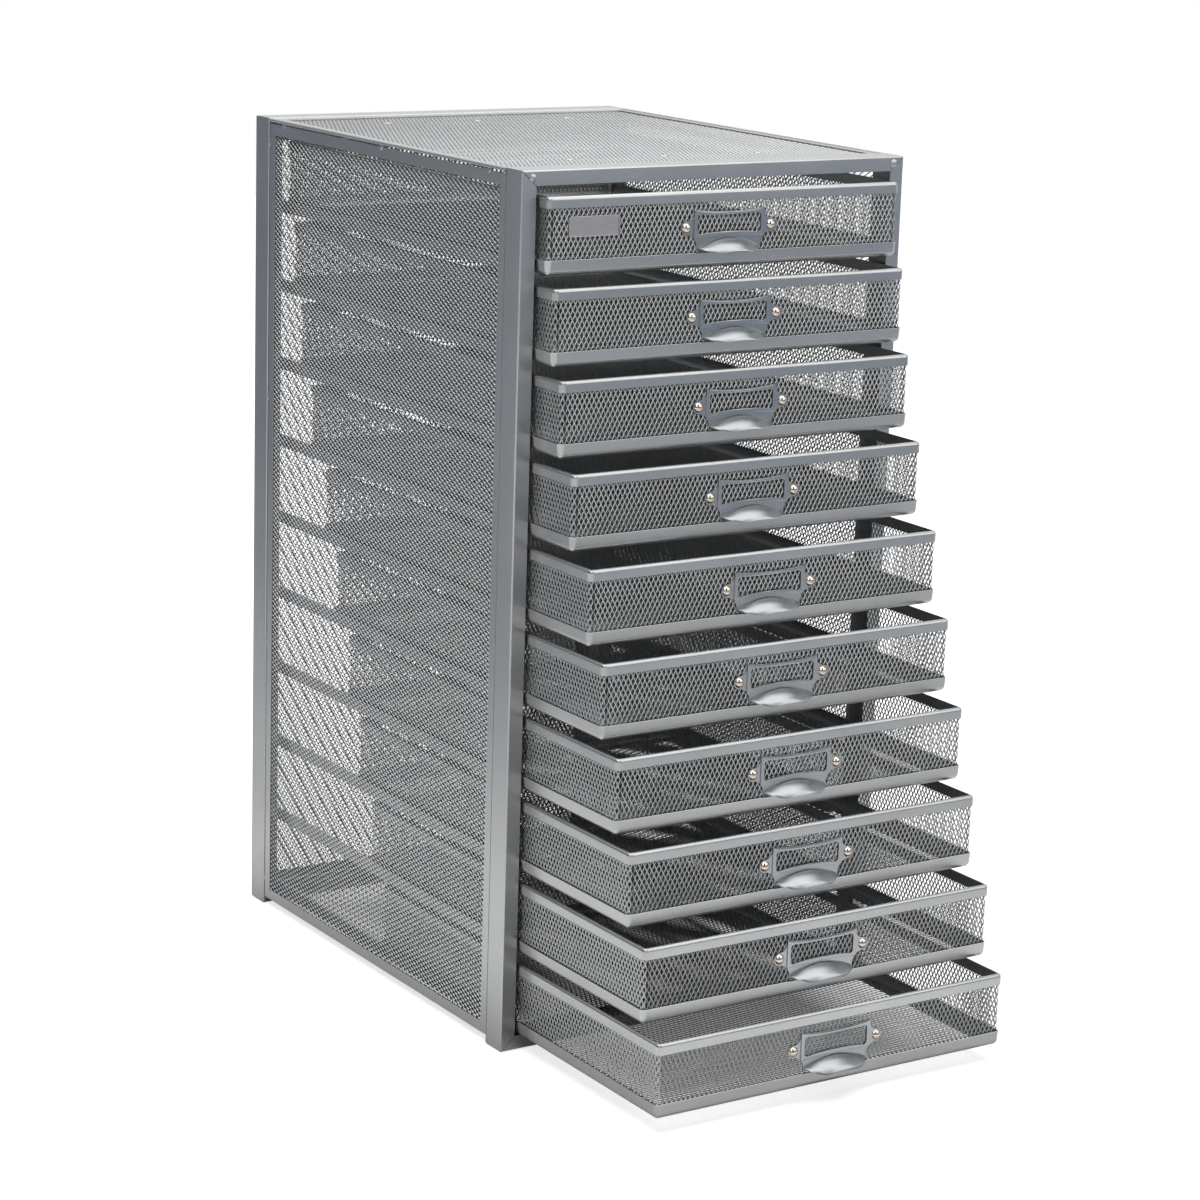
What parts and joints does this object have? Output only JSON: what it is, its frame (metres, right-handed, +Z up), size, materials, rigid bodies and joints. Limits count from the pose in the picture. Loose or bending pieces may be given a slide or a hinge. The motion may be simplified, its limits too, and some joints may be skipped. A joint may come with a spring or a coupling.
{
  "type": "desktop mini drawers",
  "caption": "Free-standing desktop cabinet of welded steel tube and expanded mesh, with a stack of shallow sliding mesh drawers that each have a label holder and cup pull.",
  "frame": {"origin": "middle of the underside of the front frame's bottom rail, on the surface that the cabinet stands on", "axes": "+X to the right seen from the front, +Y from front to back, +Z up; drawers pull out along -Y"},
  "size_m": [0.28, 0.5094, 0.546],
  "materials": {
    "painted_steel": "satin silver-grey powder coat",
    "satin_steel": "satin silver plate",
    "nickel": "polished nickel"
  },
  "bodies": {
    "cabinet": {"front_frame": "painted_steel", "rear_frame": "painted_steel", "left_side_panel": "painted_steel", "right_side_panel": "painted_steel", "top_panel": "painted_steel", "bottom_panel": "painted_steel", "back_panel": "painted_steel", "left_runners": "painted_steel", "right_runners": "painted_steel"},
    "drawer_1": {"drawer_1_basket": "painted_steel", "drawer_1_top_rim": "painted_steel", "drawer_1_bottom_band": "painted_steel", "drawer_1_pull": "satin_steel", "drawer_1_rivets": "nickel", "name_plate": "painted_steel"},
    "drawer_2": {"drawer_2_basket": "painted_steel", "drawer_2_top_rim": "painted_steel", "drawer_2_bottom_band": "painted_steel", "drawer_2_pull": "satin_steel", "drawer_2_rivets": "nickel"},
    "drawer_3": {"drawer_3_basket": "painted_steel", "drawer_3_top_rim": "painted_steel", "drawer_3_bottom_band": "painted_steel", "drawer_3_pull": "satin_steel", "drawer_3_rivets": "nickel"},
    "drawer_4": {"drawer_4_basket": "painted_steel", "drawer_4_top_rim": "painted_steel", "drawer_4_bottom_band": "painted_steel", "drawer_4_pull": "satin_steel", "drawer_4_rivets": "nickel"},
    "drawer_5": {"drawer_5_basket": "painted_steel", "drawer_5_top_rim": "painted_steel", "drawer_5_bottom_band": "painted_steel", "drawer_5_pull": "satin_steel", "drawer_5_rivets": "nickel"},
    "drawer_6": {"drawer_6_basket": "painted_steel", "drawer_6_top_rim": "painted_steel", "drawer_6_bottom_band": "painted_steel", "drawer_6_pull": "satin_steel", "drawer_6_rivets": "nickel"},
    "drawer_7": {"drawer_7_basket": "painted_steel", "drawer_7_top_rim": "painted_steel", "drawer_7_bottom_band": "painted_steel", "drawer_7_pull": "satin_steel", "drawer_7_rivets": "nickel"},
    "drawer_8": {"drawer_8_basket": "painted_steel", "drawer_8_top_rim": "painted_steel", "drawer_8_bottom_band": "painted_steel", "drawer_8_pull": "satin_steel", "drawer_8_rivets": "nickel"},
    "drawer_9": {"drawer_9_basket": "painted_steel", "drawer_9_top_rim": "painted_steel", "drawer_9_bottom_band": "painted_steel", "drawer_9_pull": "satin_steel", "drawer_9_rivets": "nickel"},
    "drawer_10": {"drawer_10_basket": "painted_steel", "drawer_10_top_rim": "painted_steel", "drawer_10_bottom_band": "painted_steel", "drawer_10_pull": "satin_steel", "drawer_10_rivets": "nickel"}
  },
  "joints": [
    {"name": "drawer_1_slide", "type": "slide", "parent": "cabinet", "child": "drawer_1", "axis": [0, -1, 0], "range_m": [-0.012, 0.228]},
    {"name": "drawer_2_slide", "type": "slide", "parent": "cabinet", "child": "drawer_2", "axis": [0, -1, 0], "range_m": [-0.0215, 0.2185]},
    {"name": "drawer_3_slide", "type": "slide", "parent": "cabinet", "child": "drawer_3", "axis": [0, -1, 0], "range_m": [-0.032, 0.208]},
    {"name": "drawer_4_slide", "type": "slide", "parent": "cabinet", "child": "drawer_4", "axis": [0, -1, 0], "range_m": [-0.048, 0.192]},
    {"name": "drawer_5_slide", "type": "slide", "parent": "cabinet", "child": "drawer_5", "axis": [0, -1, 0], "range_m": [-0.069, 0.171]},
    {"name": "drawer_6_slide", "type": "slide", "parent": "cabinet", "child": "drawer_6", "axis": [0, -1, 0], "range_m": [-0.086, 0.154]},
    {"name": "drawer_7_slide", "type": "slide", "parent": "cabinet", "child": "drawer_7", "axis": [0, -1, 0], "range_m": [-0.104, 0.136]},
    {"name": "drawer_8_slide", "type": "slide", "parent": "cabinet", "child": "drawer_8", "axis": [0, -1, 0], "range_m": [-0.12, 0.12]},
    {"name": "drawer_9_slide", "type": "slide", "parent": "cabinet", "child": "drawer_9", "axis": [0, -1, 0], "range_m": [-0.139, 0.101]},
    {"name": "drawer_10_slide", "type": "slide", "parent": "cabinet", "child": "drawer_10", "axis": [0, -1, 0], "range_m": [-0.157, 0.083]}
  ]
}
